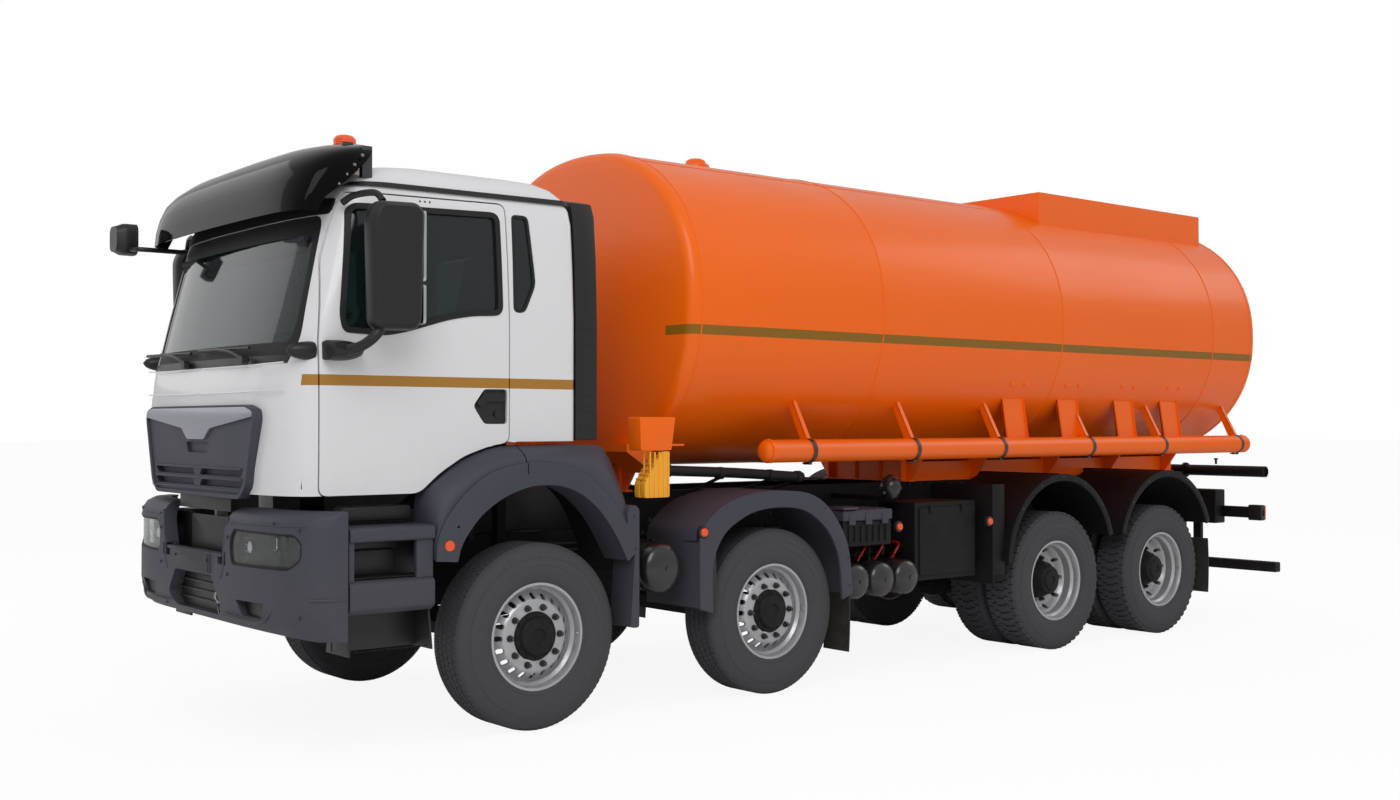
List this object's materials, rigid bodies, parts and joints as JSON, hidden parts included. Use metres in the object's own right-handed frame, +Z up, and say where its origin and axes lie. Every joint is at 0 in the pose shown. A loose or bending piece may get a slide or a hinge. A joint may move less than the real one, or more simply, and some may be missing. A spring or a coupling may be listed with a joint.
{
  "type": "tanker truck",
  "caption": "Cab-over tank truck with an oval orange tank, a spill box on top, side hose tubes, steered front axles and twin rear wheels.",
  "frame": {"origin": "middle of the truck's length and width, on the ground under the tyres", "axes": "-Y to the front of the truck, +X to its left side, +Z up"},
  "size_m": [2.88, 9.56, 3.649],
  "materials": {
    "white_paint": "gloss",
    "orange_paint": "gloss",
    "grey_plastic": "satin",
    "black_plastic": "matt",
    "smoked_plastic": "gloss",
    "black_painted_steel": "satin",
    "cast_engine_iron": "matt",
    "silver_steel": "satin",
    "aluminium": "satin",
    "tyre_rubber": "matt",
    "window_glass": "gloss",
    "lamp_glass": "gloss",
    "amber_plastic": "gloss",
    "yellow_plastic": "satin",
    "seat_fabric": "matt"
  },
  "bodies": {
    "chassis": {"frame": "black_painted_steel", "springs": "black_painted_steel", "front_axles": "black_painted_steel", "rear_axles": "black_painted_steel", "engine": "cast_engine_iron", "bumper": "grey_plastic", "headlamps": "lamp_glass", "entry_steps": "grey_plastic", "mudguards_front": "grey_plastic", "mudguards_second": "grey_plastic", "mudguards_rear": "black_painted_steel", "battery_box": "black_painted_steel", "air_tanks": "black_painted_steel", "fuel_tank": "aluminium", "exhaust_box": "aluminium", "tank": "orange_paint", "tank_supports": "orange_paint", "tank_coaming": "orange_paint", "hose_tubes": "orange_paint", "discharge_pipe": "black_painted_steel", "rear_bars": "black_painted_steel", "wheel_chocks": "yellow_plastic", "ladder": "black_painted_steel"},
    "cab": {"cab_shell": "white_paint", "cab_glass": "window_glass", "cab_trim": "black_plastic", "grille": "grey_plastic", "sun_visor": "smoked_plastic", "beacon": "amber_plastic", "dashboard": "black_plastic", "steering_wheel": "black_plastic", "seats": "seat_fabric"},
    "door_left": {"door_left": "white_paint", "door_glass_left": "window_glass", "mirror_left": "black_plastic"},
    "door_right": {"door_right": "white_paint", "door_glass_right": "window_glass", "mirror_right": "black_plastic"},
    "manhole_lid": {"manhole_lid": "orange_paint"},
    "knuckle_1_left": {"knuckle_1_left": "black_painted_steel"},
    "knuckle_1_right": {"knuckle_1_right": "black_painted_steel"},
    "knuckle_2_left": {"knuckle_2_left": "black_painted_steel"},
    "knuckle_2_right": {"knuckle_2_right": "black_painted_steel"},
    "wheel_1_left": {"rim_1_left": "silver_steel", "tyre_1_left": "tyre_rubber"},
    "wheel_1_right": {"rim_1_right": "silver_steel", "tyre_1_right": "tyre_rubber"},
    "wheel_2_left": {"rim_2_left": "silver_steel", "tyre_2_left": "tyre_rubber"},
    "wheel_2_right": {"rim_2_right": "silver_steel", "tyre_2_right": "tyre_rubber"},
    "wheel_3_left": {"rim_3_left": "silver_steel", "tyre_3_left": "tyre_rubber"},
    "wheel_3_right": {"rim_3_right": "silver_steel", "tyre_3_right": "tyre_rubber"},
    "wheel_4_left": {"rim_4_left": "silver_steel", "tyre_4_left": "tyre_rubber"},
    "wheel_4_right": {"rim_4_right": "silver_steel", "tyre_4_right": "tyre_rubber"}
  },
  "joints": [
    {"name": "steer_1_left", "type": "hinge", "parent": "chassis", "child": "knuckle_1_left", "pos_m": [0.9, -3.18, 0.53], "axis": [0, 0, 1], "range_deg": [-38, 38]},
    {"name": "steer_1_right", "type": "hinge", "parent": "chassis", "child": "knuckle_1_right", "pos_m": [-0.9, -3.18, 0.53], "axis": [0, 0, 1], "range_deg": [-38, 38]},
    {"name": "steer_2_left", "type": "hinge", "parent": "chassis", "child": "knuckle_2_left", "pos_m": [0.9, -1.385, 0.53], "axis": [0, 0, 1], "range_deg": [-25, 25]},
    {"name": "steer_2_right", "type": "hinge", "parent": "chassis", "child": "knuckle_2_right", "pos_m": [-0.9, -1.385, 0.53], "axis": [0, 0, 1], "range_deg": [-25, 25]},
    {"name": "roll_1_left", "type": "hinge", "parent": "knuckle_1_left", "child": "wheel_1_left", "pos_m": [1.042, -3.18, 0.53], "axis": [1, 0, 0], "continuous": true},
    {"name": "roll_1_right", "type": "hinge", "parent": "knuckle_1_right", "child": "wheel_1_right", "pos_m": [-1.042, -3.18, 0.53], "axis": [1, 0, 0], "continuous": true},
    {"name": "roll_2_left", "type": "hinge", "parent": "knuckle_2_left", "child": "wheel_2_left", "pos_m": [1.042, -1.385, 0.53], "axis": [1, 0, 0], "continuous": true},
    {"name": "roll_2_right", "type": "hinge", "parent": "knuckle_2_right", "child": "wheel_2_right", "pos_m": [-1.042, -1.385, 0.53], "axis": [1, 0, 0], "continuous": true},
    {"name": "roll_3_left", "type": "hinge", "parent": "chassis", "child": "wheel_3_left", "pos_m": [1.042, 1.561, 0.53], "axis": [1, 0, 0], "continuous": true},
    {"name": "roll_3_right", "type": "hinge", "parent": "chassis", "child": "wheel_3_right", "pos_m": [-1.042, 1.561, 0.53], "axis": [1, 0, 0], "continuous": true},
    {"name": "roll_4_left", "type": "hinge", "parent": "chassis", "child": "wheel_4_left", "pos_m": [1.042, 2.961, 0.53], "axis": [1, 0, 0], "continuous": true},
    {"name": "roll_4_right", "type": "hinge", "parent": "chassis", "child": "wheel_4_right", "pos_m": [-1.042, 2.961, 0.53], "axis": [1, 0, 0], "continuous": true},
    {"name": "cab_tilt", "type": "hinge", "parent": "chassis", "child": "cab", "pos_m": [0, -4.43, 0.95], "axis": [1, 0, 0], "range_deg": [0, 60]},
    {"name": "door_left_open", "type": "hinge", "parent": "cab", "child": "door_left", "pos_m": [1.1205, -4.474, 2.1], "axis": [0, 0, -1], "range_deg": [0, 75]},
    {"name": "door_right_open", "type": "hinge", "parent": "cab", "child": "door_right", "pos_m": [-1.1205, -4.474, 2.1], "axis": [0, 0, 1], "range_deg": [0, 75]},
    {"name": "lid_open", "type": "hinge", "parent": "chassis", "child": "manhole_lid", "pos_m": [0, 3.2, 3.602], "axis": [-1, 0, 0], "range_deg": [0, 100]}
  ],
  "couplings": [
    {"joint": "steer_1_right", "follows": "steer_1_left", "ratio": 1},
    {"joint": "steer_2_left", "follows": "steer_1_left", "ratio": 0.65},
    {"joint": "steer_2_right", "follows": "steer_1_left", "ratio": 0.65}
  ]
}
